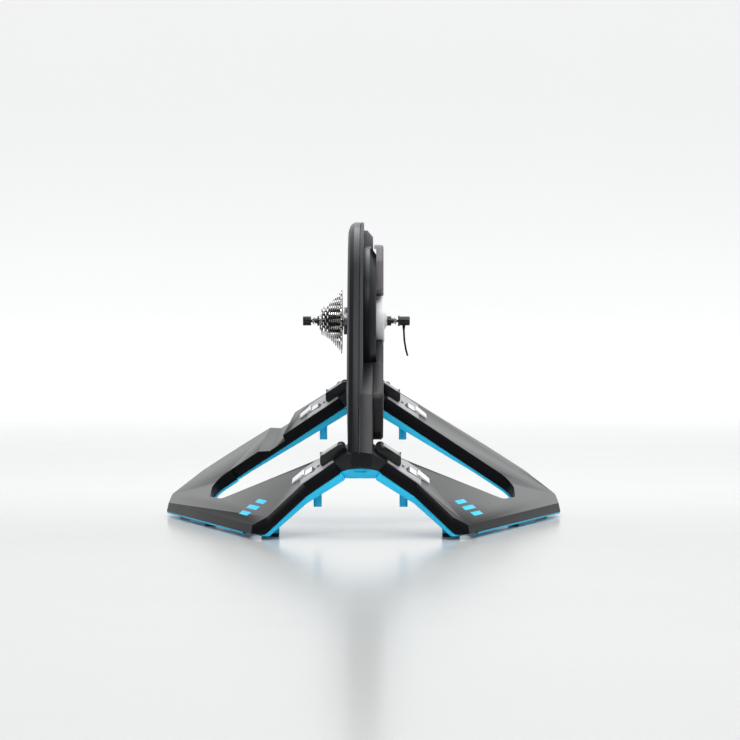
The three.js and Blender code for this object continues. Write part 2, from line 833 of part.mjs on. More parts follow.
// Toothed outline of a cog
function cogOutline(teeth) {
  const pitchRadius = cog.chainPitch / (2 * Math.sin(Math.PI / teeth));
  const step = fullTurn / teeth;
  const rootRadius = pitchRadius - cog.rollerRadius;
  const tipRadius = pitchRadius + cog.rollerRadius * tipShare;
  const toothShares = [[0, rootRadius], [tipFromShare, tipRadius], [1 - tipFromShare, tipRadius]];
  return Array.from({ length: teeth }, (_, i) =>
    toothShares.map(([share, radius]) => arc(0, 0, radius, (i + share) * step, fullTurn, 1)[0]),
  ).flat();
}

const cogPlace = (index) => -cog.first - cog.spacing * index;

// Cogs on a common carrier; every cog but the last brings its spacer
function cogCluster(teeth, first) {
  const right = cogPlace(first);
  const left = cogPlace(first + teeth.length - 1) - cog.spacing + fit;
  const carrier = disk(cog.carrier, left, right);
  const cogs = teeth.map((count, i) => {
    const place = cogPlace(first + i);
    return prism(cogOutline(count), place - cog.thickness, place, acrossX);
  });
  const windows = [];
  const windowCount = 5;
  const open = cog.chainPitch / (2 * Math.sin(Math.PI / Math.min(...teeth))) - 2 * cog.rollerRadius;
  if (open > cog.carrier + 2 * cog.rollerRadius) {
    for (let i = 0; i < windowCount; i += 1) {
      const middle = (cog.carrier + open) / 2;
      const size = (open - cog.carrier) / 2 - cog.web;
      const window = rod(middle, 0, size, left - overrun, right + overrun, acrossX, dotSides);
      windows.push(window.rotate([(fullTurn / windowCount) * i, 0, 0]));
    }
  }
  const bore = disk(freehub.radius + fit, left - overrun, right + overrun);
  return cut(join(carrier, ...cogs), bore, ...windows);
}

function singleCog(teeth, index) {
  const place = cogPlace(index);
  const body = prism(cogOutline(teeth), place - cog.thickness, place, acrossX);
  const [from, to] = [place - cog.spacing + fit, place - cog.thickness + keep];
  const spacer = rod(0, 0, freehub.radius + freehub.spacerWall, from, to, acrossX, knuckleSides);
  const bore = disk(freehub.radius - freehub.step, place - beyond, beyond);
  return cut(join(body, spacer), bore);
}

// Freehub body, stepped down where the smallest cogs sit
function freehubBody() {
  const bore = axle.radius + fit;
  const step = cogPlace(largeTeeth.length + middleTeeth.length) + fit;
  const slim = freehub.radius - freehub.step - fit;
  return turned([
    [-freehub.right, bore],
    [-freehub.right, freehub.radius],
    [step, freehub.radius],
    [step, slim],
    [-freehub.left, slim],
    [-freehub.left, bore],
    [-freehub.right, bore],
  ]);
}

function cassetteLockring() {
  const right = cogPlace(cogCount - 1) - cog.spacing;
  const bore = axle.radius + lockring.play;
  return turned([
    [right, bore],
    [right, lockring.radius],
    [right - lockring.flange + fit, lockring.radius],
    [right - lockring.flange, lockring.radius - lockring.edge],
    [right - lockring.flange, bore],
    [right, bore],
  ]);
}

// Rod of the quick release with the housing that its lever turns in
function skewer() {
  const body = turned([
    [cam.left, 0],
    [cam.left, cam.flange],
    [cam.left + cam.flangeWidth, cam.flange],
    [cam.left + cam.flangeWidth + cam.edge / 2, cam.radius],
    [cam.right - cam.edge, cam.radius],
    [cam.right, cam.radius - cam.edge],
    [cam.right, 0],
  ]);
  const half = cam.cheekGap / 2;
  const slot = box(cam.pivotX - cam.head - fit - keep, cam.right + overrun, -half, half, -beyond, beyond);
  const pinHole = rod(cam.pivotX, 0, cam.pin + fit, -beyond, beyond, acrossY);
  const bar = rod(0, 0, rodRadius, -thumb.left, cam.left + keep, acrossX);
  return join(bar, cut(body, slot, pinHole));
}

// Lever: round head on its pin, straight stem, then a thin blade that sweeps outwards
function releaseLever() {
  const half = cam.cheekGap / 2 - fit;
  const head = rod(cam.pivotX, 0, cam.head, -half, half, acrossY, knuckleSides);
  const pin = rod(cam.pivotX, 0, cam.pin, -cam.radius + keep, cam.radius - keep, acrossY);
  const drop = lever.drop;
  const inner = cam.pivotX - lever.thickness / 2;
  const left = [
    [cam.pivotX - lever.stemRadius, 0],
    [cam.pivotX - lever.stemRadius, -cam.radius - lever.stem],
    ...leverShares.map(([out, down]) => [inner + lever.sweep * out, -drop * down]),
  ];
  const right = left.map(([x, z], i) => [x + (i < 2 ? 2 * lever.stemRadius : lever.thickness), z]).reverse();
  const blade = prism([...left, ...right], -half, half, acrossY);
  const paddle = prism(
    [left[3], left[4], left[5], right[0], right[1], right[2]],
    -lever.width / 2,
    lever.width / 2,
    acrossY,
  );
  return join(head, pin, blade, paddle);
}

function thumbNut() {
  const body = disk(thumb.radius, -thumb.left, -thumb.right);
  const [from, to] = [-thumb.left - overrun, -thumb.right - thumb.collar];
  const groove = rod(thumb.radius + thumb.ribDepth, 0, 2 * thumb.ribDepth, from, to, acrossX, dotSides);
  const step = fullTurn / thumb.ribs;
  const grooves = Array.from({ length: thumb.ribs }, (_, i) => groove.rotate([step * i, 0, 0]));
  const bore = rod(0, 0, rodRadius + fit, -beyond, beyond, acrossX);
  return cut(body, bore, ...grooves);
}

// Cone shaped spring round the rod, its wide end against the axle
function coneSpring(side, start) {
  class Helix extends THREE.Curve {
    getPoint(t, target = new THREE.Vector3()) {
      const angle = 2 * Math.PI * spring.curls * t;
      const radius = spring.wide + (spring.narrow - spring.wide) * t;
      const along = start + spring.wire + (spring.length - 2 * spring.wire) * t;
      return target.set(side * along, radius * Math.cos(angle), radius * Math.sin(angle));
    }
  }
  const path = new Helix();
  const steps = Math.round(spring.curls * spring.stepsPerCurl);
  const wire = circle(0, 0, spring.wire, spring.wireSides);
  const section = new THREE.Shape(wire.map(([a, b]) => new THREE.Vector2(a, b)));
  const geometry = new THREE.ExtrudeGeometry(section, { steps, extrudePath: path, bevelEnabled: false });
  return { solid: toSolid(geometry), path, steps };
}

// Least gap between turns of a spring, on points more than half a turn apart
function springGap({ path, steps }) {
  const points = Array.from({ length: 4 * steps + 1 }, (_, i) => path.getPoint(i / (4 * steps)));
  const away = 2 * spring.stepsPerCurl;
  let least = Infinity;
  points.forEach((point, i) => {
    for (let j = i + away; j < points.length; j += 1) least = Math.min(least, point.distanceTo(points[j]));
  });
  return least - 2 * spring.wire;
}

// Line through two corners, drawn on to a place across
function extend([a, b], [c, d], to) {
  return [to, b + ((d - b) * (to - a)) / (c - a)];
}

// Outline of a wing's top face: front leg, outer part, rear leg and the cut-out between the legs
function wingOutline() {
  const scaled = (table) =>
    table.map(([u, v, radius, flare]) => [u * wing.reach, v * wing.fore, radius, flare]);
  const outer = scaled(wingOuterShares);
  const inner = scaled(cutoutShares);
  const frontSeam = extend([0, -block.foreFront], outer[0], -seamReach);
  const rearSeam = [-seamReach, block.rearEnd];
  const rearInside = [-seamReach, block.rearFront];
  const frontInside = extend([0, -block.foreRear + keep], inner[inner.length - 1], -seamReach);
  return rounded([
    [...frontSeam, 0, 1],
    ...outer,
    [0, block.rearEnd, 0, 1],
    [...rearSeam, 0, 0],
    [...rearInside, 0, 0],
    ...inner,
    [...frontInside, 0, 0],
  ]);
}

const outlineOfWing = wingOutline();
const turnToWing = new THREE.Matrix4().extractRotation(floorToWing);
const straightDown = new THREE.Vector3(0, 0, -1).transformDirection(turnToWing);

// The wing's outline at a depth: its sides drop straight to the floor and flare out below the bevel
function wingRing(depth, grow) {
  const fall = depth / -straightDown.z;
  const flareShare = Math.min(depth / wing.bevel, 1);
  const points = outlineOfWing.map(([u, v]) => [u + straightDown.x * fall, v + straightDown.y * fall]);
  return inset(points, outlineOfWing.map(([, , flare]) => -grow - flare * flareShare));
}

function wingSolid(left, top, bottom, grow) {
  const depths = [top, ...(top < wing.bevel && wing.bevel < bottom ? [wing.bevel] : []), bottom];
  const solid = stack(depths.map((depth) => wingRing(depth, grow)), depths.map((depth) => -depth), acrossZ);
  return left ? cut(solid, nutRoom(-grow)) : solid;
}

// What the rear leg of the left wing leaves free for the nut of the quick release when it is folded
function nutRoom(inside) {
  const axleV = (axleHeight - hingeHeight) * Math.sin(rise);
  const edge = axleV + thumb.radius + nutClearance + inside;
  const [u, , round] = cutoutShares[0];
  return box(-beyond, u * wing.reach - round, 0, edge, -beyond, beyond);
}

// Everything on the hinge side of a line across the legs
const inward = (u) => box(-beyond, u, -beyond, beyond, -beyond, beyond);
const belowFloor = (height) => moved(box(-beyond, beyond, -beyond, beyond, -beyond, height), floorToWing);

// Place on the floor frame of a point on the underside of a wing
const underWing = (u, v) => new THREE.Vector3(u, v, -frameDepth).applyMatrix4(wingPlace);

// Back edge of the front latch plate, as shares of its outer end
const latchBackShares = [[1, 0.324], [0.6, 0.36]];

// Place of the latch plate in the top of a leg
function latchOutline(leg, grow = 0) {
  const front = wing.fore * -wingOuterShares[0][1];
  const outline = leg.fore
    ? [
        [latch.innerU, -block.foreFront + latch.margin * 1.5],
        [latch.outerU, -front + latch.margin * 1.75],
        ...latchBackShares.map(([u, v]) => [latch.outerU * u, -block.foreRear + latch.outerU * v]),
        [latch.innerU, -block.foreRear - latch.margin / 4],
      ]
    : [
        [latch.innerU, block.rearFront + latch.margin],
        [latch.outerU, block.rearFront + latch.margin * 0.75],
        [latch.outerU, block.rearEnd - latch.margin],
        [latch.innerU, block.rearEnd - latch.margin],
      ];
  return inset(outline, -grow);
}

// Middle of the release lever along its leg
const tabPlace = (leg) => leg.v + tab.behind;

// Trough and slot that the folded wing passes the cassette with
function cassetteChannel() {
  const { depth, foreFrom, foreTo, rearFrom, rearTo, lip } = channel;
  const front = block.rearFront - channel.past;
  const rear = block.rearEnd + channel.past;
  const section = (from, to) => [[from, 0], [from + lip / 3, -depth], [to - 2 * lip, -depth], [to, 0]];
  const corner = (v, from, to) => section(from, to).map(([u, n]) => [u, v, n]);
  const rings = [corner(front, foreFrom, foreTo), corner(rear, rearFrom, rearTo)];
  const positions = rings.flatMap((points) => {
    const [a, b, c, d] = points;
    return [[a[0] - lip / 3, a[1], depth], a, b, c, d, [d[0] + 2 * lip, d[1], depth]].flat();
  });
  const count = positions.length / 6;
  const outlines = [0, 1].map((k) =>
    Array.from({ length: count }, (_, i) => {
      const at = 3 * (k * count + i);
      return [positions[at], positions[at + 2]];
    }),
  );
  return stack(outlines, [front, rear], acrossY);
}

function wingCover(left) {
  const roots = inward(wing.root);
  const hollow = wingSolid(left, wing.wall, coverDepth + overrun, -wing.wall);
  let cover = cut(wingSolid(left, 0, coverDepth, 0), cut(hollow, left ? join(roots, channelFloor()) : roots));
  for (const leg of legs) {
    const [first, , last] = hingeRanges(leg.fore);
    cover = cut(
      cover,
      prism(latchOutline(leg, fit), -latch.thickness - fit, overrun, acrossZ),
      rod(0, 0, hinge.relief, first[0] - fit, last[1] + fit, acrossY, knuckleSides),
    );
  }
  if (left) cover = cut(cover, cassetteChannel());
  return cut(cover, inward(seam / 2), belowFloor(frameFloor + wing.floorPlate + fit));
}

// Stretch of the rear leg that stays thick under the channel
function channelFloor() {
  return box(channel.floorFrom, channel.floorTo, 0, beyond, -beyond, beyond);
}

const tallRoom = 2 * frameDepth;

function wingFrame(left) {
  const top = coverDepth + colourGap;
  const everywhere = [-beyond, beyond, -beyond, beyond];
  const inside = wingSolid(left, top + wing.wall, frameDepth + overrun, -wing.slim - wing.wall);
  const hollow = cut(inside, inward(wing.root));
  const tub = cut(box(...everywhere, -frameDepth, -top), hollow);
  const floorPlate = moved(box(...everywhere, 0, frameFloor + wing.floorPlate), floorToWing);
  const band = cut(floorPlate, inward(wing.reach / 2));
  const taper = prism(
    [
      [-overrun, -wing.rootDepth],
      [-overrun, -beyond],
      [beyond, -beyond],
      [beyond, -wing.tipDepth],
      [wing.taperEnd, -wing.tipDepth],
    ],
    -beyond,
    beyond,
    acrossY,
  );
  const above = box(...everywhere, -top - wing.wall / 2, beyond);
  const tall = tallRoom;
  const blocks = feet.map((foot) => {
    const pillar = prism(footOutline(foot, 0), 0, tall, acrossZ);
    return cut(moved(pillar, floorToWing), above);
  });
  const sleeves = legs.map((leg) => {
    const { x, y, z } = underWing(sleeve.u, leg.v - sleeve.ahead);
    const tube = rod(x, y, sleeve.radius, z - sleeve.drop, z + tall, acrossZ, knuckleSides);
    return cut(moved(tube, floorToWing), above);
  });
  const envelope = wingSolid(left, colourGap, frameDepth + tallRoom, -wing.slim);
  const whole = envelope.intersect(join(cut(tub, taper), band, ...blocks, ...sleeves));
  return cut(whole, inward(seam / 2), belowFloor(frameFloor));
}

function latchPlate(leg) {
  const [first, middle, last] = hingeRanges(leg.fore);
  const relief = rod(0, 0, hinge.relief, first[0] - fit, last[1] + fit, acrossY, knuckleSides);
  const panel = cut(prism(latchOutline(leg), -latch.thickness, 0, acrossZ), relief);
  const knuckle = rod(0, 0, hinge.radius, middle[0] + fit / 2, middle[1] - fit / 2, acrossY, knuckleSides);
  const hole = latch.hole / 2;
  const window = box(latch.holeU - hole, latch.holeU + hole, leg.v - hole, leg.v + hole, -beyond, overrun);
  const v = tabPlace(leg);
  const [dotU, dotV] = [tab.pivotU + tab.dotOut, leg.v - tab.dotAhead];
  const dot = rod(dotU, dotV, latch.dot, -beyond, beyond, acrossZ, dotSides);
  const ears = [-1, 1].map((side) => {
    const inside = v + side * (tab.width / 2 + fit);
    const outside = inside + side * tab.ear;
    const [from, to] = [tab.pivotU - tab.round, tab.pivotU + tab.round];
    const top = arc(tab.pivotU, tab.pivotN, tab.round, 0, fullTurn / 2, dotSides);
    const shape = [...top, [from, -keep], [to, -keep]];
    return prism(shape, inside, outside, acrossY);
  });
  const span = tab.width / 2 + tab.ear + overrun;
  const pivot = rod(tab.pivotU, tab.pivotN, tab.pin + fit, v - span, v + span, acrossY);
  const reach = hinge.foreLength;
  const pin = rod(0, 0, hinge.bore, middle[0] - reach, middle[1] + reach, acrossY);
  const web = box(0, 2 * hinge.radius, middle[0] + fit / 2, middle[1] - fit / 2, -latch.thickness, 0);
  return cut(join(panel, knuckle, web, ...ears), window, dot, pivot, pin);
}

// Release lever lying over the outer end of its latch plate
function releaseTab(leg) {
  const v = tabPlace(leg);
  const half = tab.width / 2;
  const [from, to] = [fullTurn / 2, fullTurn * 0.75];
  const nose = arc(tab.pivotU, tab.pivotN, tab.pivotN - tab.lift, from, to, smallSides / 2);
  const shape = [
    ...nose,
    [tab.endU, tab.lift],
    [tab.endU, tab.low],
    [tab.endU - 2 * tab.nose, tab.low + tab.nose],
    [tab.pivotU + 2 * tab.nose, tab.high],
    [tab.pivotU - tab.nose, tab.high],
  ];
  const blade = prism(shape, v - half, v + half, acrossY);
  const pin = rod(tab.pivotU, tab.pivotN, tab.pin, v - half - tab.ear, v + half + tab.ear, acrossY);
  return join(blade, pin);
}

const hingePin = (leg) => {
  const [first, , last] = hingeRanges(leg.fore);
  return rod(0, 0, hinge.pin, first[0], last[1], acrossY);
};

// Lock strut: forked over its lug on the frame, with an upright outer face and a small catch on top
function lockStrut(leg) {
  const half = strut.thickness / 2;
  const lean = (strut.top - strut.bottom) * (straightDown.x / -straightDown.z);
  const outline = rounded([
    [strut.pivotU, strut.bottom + fit, 0],
    [strut.outer, strut.bottom, strut.heel],
    [strut.outer - lean, strut.top, strut.heel / 4],
    [strut.pivotU, strut.top, 0],
  ], 4);
  const body = prism(outline, leg.v - half, leg.v + half, acrossY);
  const [from, to] = [leg.v - half, leg.v + half];
  const knuckle = rod(strut.pivotU, strut.pivotN, strut.knuckle, from, to, acrossY, knuckleSides);
  const catchU = strut.outer - lean - strut.lug;
  const [foot, head] = [strut.top - keep, strut.top + strut.lugHeight];
  const lug = rod(catchU, leg.v, strut.lug / 2, foot, head, acrossZ, knuckleSides);
  const gap = strut.slot / 2;
  const slot = box(-beyond, strut.pivotU + strut.slotReach, leg.v - gap, leg.v + gap, -beyond, beyond);
  const pin = rod(strut.pivotU, strut.pivotN, strut.pin, leg.v - half, leg.v + half, acrossY);
  return join(cut(join(body, knuckle), slot), pin, lug);
}

// Direction of a wing's outer edge, seen from above
function outerEdgeAngle() {
  const corner = ([u, v]) => underWing(u * wing.reach, v * wing.fore);
  const [from, to] = [corner(wingOuterShares[2]), corner(wingOuterShares[3])];
  return Math.atan2(from.x - to.x, to.y - from.y);
}

// Corners of a foot on the floor, rounded
function footOutline({ u, v, width, depth, along }, radius) {
  const { x, y } = underWing(u * wing.reach, v * wing.fore);
  const angle = along ? outerEdgeAngle() : 0;
  const [cos, sin] = [Math.cos(angle), Math.sin(angle)];
  const corners = [[-1, -1], [1, -1], [1, 1], [-1, 1]].map(([i, j]) => [(i * width) / 2, (j * depth) / 2]);
  return rounded(corners.map(([a, b]) => [x + a * cos - b * sin, y + a * sin + b * cos, radius]), 3);
}

function footPad(foot) {
  const outline = footOutline(foot, footRound);
  return stack([inset(outline, footEdge), outline, outline], [0, footEdge, footHeight], acrossZ);
}

// Coloured bridge under a block
function rearBridge() {
  const saddleFromBody = saddleToBody.clone().invert();
  return cut(skirtSolid(rearRange, 0), moved(coverRoom(), saddleFromBody));
}

const bridgeSlot = { width: 20, height: 2.6, deep: 3, above: 11 };

function frontBridge() {
  const body = skirtSolid(frontRange, 0);
  const from = frontRange[0];
  const { width, height, deep, above } = bridgeSlot;
  const bottom = seamPoint(frameDepth)[1] + above;
  const slot = box(-width / 2, width / 2, from - overrun, from + deep, bottom, bottom + height);
  return cut(body, slot);
}

// Circuit board, flat on the inside of the electronics housing
function controlBoard() {
  const right = housing.right - housing.wall - fit;
  const { rear, top, length, height, thickness } = circuit;
  return box(right - thickness, right, rear - length, rear, top - height, top);
}

// Power inlet: a round socket through the rear wall of the electronics housing
function powerInlet() {
  const rear = housingRear + inlet.proud;
  const body = rod(inlet.x, inlet.z, inlet.radius, rear - inlet.length, rear, acrossY, knuckleSides);
  const [from, to] = [rear - inlet.length + inlet.proud, rear + overrun];
  const socket = rod(inlet.x, inlet.z, inlet.socket, from, to, acrossY);
  return cut(body, socket);
}

const trainer = new THREE.Group();
const body = new THREE.Group();
body.position.z = axleHeight;
const saddle = new THREE.Group();
saddle.position.z = hingeHeight;
saddle.rotation.x = rise;
trainer.add(body, saddle);

body.add(
  mesh('frame_casting', frameCasting(), darkPaint),
  mesh('drive_side_cover', driveSideCover(), bodyPlastic),
  mesh('motor_cover', motorCover(), bodyPlastic),
  mesh('rear_cover', rearFairing(), purplePlastic),
  mesh('electronics_housing', electronicsHousing(), purplePlastic),
  mesh('axle_boss', axleBoss(), bright),
  mesh('axle_tube', axleTube(), steel),
  mesh('right_axle_collar', axleEnd(collar, 1, collar.left), blackPlastic),
  mesh('left_axle_nut', axleEnd(leftNut, -1, axle.left + fit), blackPlastic),
  mesh('stator_core', statorCore(), steel),
  mesh('coil_ring', ring(coil.inner, coil.outer, -coil.left, -coil.left + coil.height), copper),
  mesh('rotor_bell', rotorBell(), steel),
  mesh('magnet_ring', magnetRing(), blackPlastic),
  mesh('outer_bearing', bearingRing(-rotor.hubLeft), bright),
  mesh('inner_bearing', bearingRing(-rotor.hubRight - bearing.width), bright),
  mesh('freehub_body', freehubBody(), steel),
  mesh('large_cog_cluster', cogCluster(largeTeeth, 0), bright),
  mesh('middle_cog_cluster', cogCluster(middleTeeth, largeTeeth.length), bright),
  mesh('cassette_lockring', cassetteLockring(), blackPlastic),
  mesh('control_board', controlBoard(), board),
  mesh('power_inlet', powerInlet(), blackPlastic),
  mesh('quick_release_skewer', skewer(), blackPlastic),
  mesh('quick_release_lever', releaseLever(), blackPlastic),
  mesh('quick_release_nut', thumbNut(), blackPlastic),
);
singleTeeth.forEach((teeth, i) => {
  const index = largeTeeth.length + middleTeeth.length + i;
  body.add(mesh(`cog_${teeth}`, singleCog(teeth, index), bright));
});
[['right', 1, collar.end], ['left', -1, leftNut.end]].forEach(([side, sign, start]) => {
  const wound = coneSpring(sign, start + fit);
  console.log(`${side} skewer spring: least gap to itself ${springGap(wound).toFixed(2)} mm`);
  body.add(mesh(`${side}_skewer_spring`, wound.solid, bright));
});

function magnetRing() {
  const outer = rotor.rimRadius - rotor.rimWall - fit;
  return ring(outer - magnet.thickness, outer, -magnet.left, -magnet.right);
}

function bearingRing(from) {
  return ring(axle.radius + fit, rotor.bearingOuter - fit, from, from + bearing.width, roundSides);
}

saddle.add(
  mesh('front_bridge', frontBridge(), bluePaint),
  mesh('rear_bridge', rearBridge(), bluePaint),
);

// One side of the trainer, drawn as the right side
function side(name, left) {
  const group = new THREE.Group();
  const tilted = new THREE.Group();
  tilted.position.set(hingeX, 0, hingeHeight);
  tilted.rotation.set(rise, droop, 0);
  tilted.add(
    mesh(`${name}_wing_cover`, wingCover(left), coverPlastic),
    mesh(`${name}_wing_frame`, wingFrame(left), bluePaint),
  );
  for (const leg of legs) {
    tilted.add(
      mesh(`${name}_${leg.name}_latch_plate`, latchPlate(leg), bright),
      mesh(`${name}_${leg.name}_release_lever`, releaseTab(leg), whitePlastic),
      mesh(`${name}_${leg.name}_lock_strut`, lockStrut(leg), blackPlastic),
      mesh(`${name}_${leg.name}_hinge_pin`, hingePin(leg), steel),
    );
  }
  group.add(tilted);
  for (const foot of feet) group.add(mesh(`${name}_${foot.name}_foot`, footPad(foot), rubber));
  if (left) group.scale.x = -1;
  return group;
}

trainer.add(side('right', false), side('left', true));

// The origin lies under the middle of everything
const bounds = new THREE.Box3().setFromObject(trainer, true);
trainer.position.y = -Math.round((bounds.min.y + bounds.max.y) * 5) / 10;

export default trainer;
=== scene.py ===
import json
from math import atan2, cos, hypot, pi, radians, sin

import bmesh
import bpy
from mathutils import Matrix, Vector


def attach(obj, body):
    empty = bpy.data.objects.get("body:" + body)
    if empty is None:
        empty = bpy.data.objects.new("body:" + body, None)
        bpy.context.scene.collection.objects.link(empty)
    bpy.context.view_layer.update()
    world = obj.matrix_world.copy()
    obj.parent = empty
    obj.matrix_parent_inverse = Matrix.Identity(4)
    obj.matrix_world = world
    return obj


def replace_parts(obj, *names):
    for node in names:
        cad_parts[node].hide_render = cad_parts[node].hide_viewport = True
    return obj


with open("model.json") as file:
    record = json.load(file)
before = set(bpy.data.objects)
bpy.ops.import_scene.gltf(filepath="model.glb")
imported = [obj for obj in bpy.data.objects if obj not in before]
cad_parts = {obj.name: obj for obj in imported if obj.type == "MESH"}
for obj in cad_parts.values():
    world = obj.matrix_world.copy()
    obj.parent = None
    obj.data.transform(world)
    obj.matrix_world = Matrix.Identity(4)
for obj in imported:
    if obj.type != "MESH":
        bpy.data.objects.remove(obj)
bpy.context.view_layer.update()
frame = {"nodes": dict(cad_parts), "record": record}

MM = 0.001
SIDES = {"right": 1, "left": -1}
LEGS = ("front", "rear")

# Main lines of the trainer with its wings down, in metres
AXLE = Vector((0, 0.0712, 0.370))
HINGE_X = 0.045
HINGE_Z = 0.2127
RISE = radians(14.9)
DROOP = radians(34.34)

# The largest cog, how fast the cogs' tips draw in from it, and how deep their bright teeth reach
LARGE_COG_RADIUS = 0.061
LARGE_COG_X = -0.037
COG_SLOPE = 0.95
TOOTH_DEPTH = 6.2 * MM
TOOTH_BLUR = 0.6 * MM

BODY_OF = {node: body for body, nodes in frame["record"]["behaviour"]["bodies"].items() for node in nodes}


class Field:
    """A value over a surface. Sums and products of fields add Math nodes."""

    def __init__(self, finish, socket):
        self.finish = finish
        self.socket = socket

    def math(self, operation, *others):
        values = {i: v for i, v in enumerate((self, *others))}
        return self.finish.node("ShaderNodeMath", {"operation": operation}, values)

    def __add__(self, other):
        return self.math("ADD", other)

    def __radd__(self, other):
        return self.math("ADD", other)

    def __sub__(self, other):
        return self.math("SUBTRACT", other)

    def __rsub__(self, other):
        return self.finish.node("ShaderNodeMath", {"operation": "SUBTRACT"}, {0: other, 1: self})

    def __mul__(self, other):
        return self.math("MULTIPLY", other)

    def __rmul__(self, other):
        return self.math("MULTIPLY", other)

    def wave(self):
        return self.math("SINE")

    def repeat(self, pitch):
        """Runs up from zero to the pitch and back again."""
        return self.math("PINGPONG", pitch)

    def below(self, level):
        return self.math("LESS_THAN", level)

    def clipped(self):
        return self.finish.node("ShaderNodeClamp", {}, {0: self})

    def fading(self, low, high):
        settings = {"interpolation_type": "SMOOTHSTEP"}
        return self.finish.node("ShaderNodeMapRange", settings, {0: self, 1: low, 2: high, 3: 0.0, 4: 1.0})


class Finish:
    """A material: its node tree with one surface shader, in places measured on the piece itself."""

    def __init__(self, name, **values):
        self.material = bpy.data.materials.new(name)
        self.material.use_nodes = True
        tree = self.material.node_tree
        self.lay_out(tree, "ShaderNodeOutputMaterial", "ShaderNodeBsdfPrincipled", "Object")
        self.surface(**values)

    @classmethod
    def room(cls, world):
        """The same for the world round the trainer."""
        finish = cls.__new__(cls)
        world.use_nodes = True
        finish.lay_out(world.node_tree, "ShaderNodeOutputWorld", "ShaderNodeBackground", "Generated")
        return finish

    def lay_out(self, tree, output, shader, place):
        self.tree = tree
        self.tree.nodes.clear()
        end = self.tree.nodes.new(output)
        self.shader = self.tree.nodes.new(shader)
        self.tree.links.new(self.shader.outputs[0], end.inputs["Surface"])
        self.place = self.node("ShaderNodeTexCoord", {}, {}, place)

    def put(self, node, values):
        for key, value in values.items():
            socket = node.inputs[key.replace("_", " ") if isinstance(key, str) else key]
            if isinstance(value, Field):
                self.tree.links.new(value.socket, socket)
            else:
                colour = isinstance(value, tuple) and len(value) == 3 and socket.type == "RGBA"
                socket.default_value = (*value, 1.0) if colour else value

    def node(self, kind, settings, values, output=0):
        node = self.tree.nodes.new(kind)
        for key, value in settings.items():
            setattr(node, key, value)
        self.put(node, values)
        return Field(self, node.outputs[output])

    def surface(self, **values):
        self.put(self.shader, values)
        return self

    def axis(self, name, source=None):
        return self.node("ShaderNodeSeparateXYZ", {}, {0: source or self.place}, name)

    def facing_up(self):
        """How far the surface faces up while the piece is in its usual place."""
        return self.axis("Z", self.node("ShaderNodeTexCoord", {}, {}, "Normal"))

    def from_axle(self):
        """The distance from the axle's line."""
        side = self.axis("Y") - AXLE.y
        up = self.axis("Z") - AXLE.z
        return (side * side + up * up).math("SQRT")

    def noise(self, scale, detail=3.0, rough=0.55, stretch=None):
        source = self.place
        if stretch:
            source = self.node("ShaderNodeVectorMath", {"operation": "MULTIPLY"}, {0: source, 1: stretch})
        values = {"Vector": source, "Scale": scale, "Detail": detail, "Roughness": rough}
        return self.node("ShaderNodeTexNoise", {}, values, "Fac")

    def blend(self, share, low, high):
        values = {"Factor": share, 6: low, 7: high}
        return self.node("ShaderNodeMix", {"data_type": "RGBA"}, values, 2)

    def ridge(self, height, distance, strength):
        values = {"Height": height, "Distance": distance, "Strength": strength}
        return self.node("ShaderNodeBump", {}, values)


def tint(colour, factor):
    return tuple(min(1.0, c * factor) for c in colour)


# Finishes


def mould_marks(f):
    """Slow patches of wear and the fine grain of a spark-eroded mould."""
    return f.noise(9.0, 4.0), f.noise(1500.0, 2.0, 0.6)


def mould_skin(f, patch, speck, rough, speckle=0.1):
    """Lays the wear and grain of the mould into a plastic's sheen and surface."""
    sheen = (patch - 0.5) * 0.08 + (speck - 0.5) * speckle
    return f.surface(Roughness=sheen + rough, Normal=f.ridge(speck, 0.02 * MM, 0.5))


def moulded(name, colour, rough, shine=0.25, glossy_top=False):
    """Moulded plastic, where asked with a clear gloss on what faces up."""
    f = Finish(name, Coat_Roughness=0.3, Specular_IOR_Level=shine)
    if glossy_top:
        f.surface(Coat_Weight=f.facing_up().fading(0.30, 1.1) * 0.85)
    patch, speck = mould_marks(f)
    base = f.blend(patch, tint(colour, 0.9), tint(colour, 1.12))
    f.surface(Base_Color=f.blend(speck, base, tint(colour, 1.35)))
    return mould_skin(f, patch, speck, rough)


def fairing_plastic(name):
    """Moulded plastic that turns from black to a pale purple grey at about the height of the axle."""
    f = Finish(name, Specular_IOR_Level=0.25)
    patch, speck = mould_marks(f)
    high = f.axis("Z").fading(AXLE.z - 10 * MM, AXLE.z + 50 * MM)
    base = f.blend(high, (0.014, 0.0135, 0.015), (0.175, 0.165, 0.182))
    grain = f.blend(high, (0.020, 0.019, 0.021), (0.205, 0.193, 0.212))
    f.surface(Base_Color=f.blend(speck, base, grain))
    return mould_skin(f, patch, speck, 0.42, speckle=0.0)


def wing_plastic(name):
    """Black plastic with painted sheen: a dark grey base colour on a wing's broad top under a satin coat,
    plain black down its edges.
    """
    f = Finish(name, Coat_Roughness=0.34, Specular_IOR_Level=0.1)
    patch, speck = mould_marks(f)
    # painted sheen: faces that look up get a dark grey base colour instead of black, for the light the
    # satin top catches; the speck in it is the mould's grain
    top = f.facing_up().fading(0.72, 0.785)
    grain = f.blend(speck, (0.033, 0.0335, 0.0345), (0.044, 0.0445, 0.046))
    f.surface(Base_Color=f.blend(top, (0.006, 0.006, 0.007), grain), Coat_Weight=top * 0.95)
    return mould_skin(f, patch, speck, 0.34)


def painted(name, colour, rough, coat=0.0):
    """Sprayed paint with a slight orange peel, where asked under a thin clear coat."""
    f = Finish(name, Coat_Weight=coat, Coat_Roughness=0.12, Specular_IOR_Level=0.3)
    patch = f.noise(14.0, 3.0)
    skin = f.noise(320.0, 2.0, 0.5)
    f.surface(Base_Color=f.blend(patch, tint(colour, 0.93), tint(colour, 1.06)))
    return f.surface(Roughness=(patch - 0.5) * 0.1 + rough, Normal=f.ridge(skin, 0.03 * MM, 0.4))


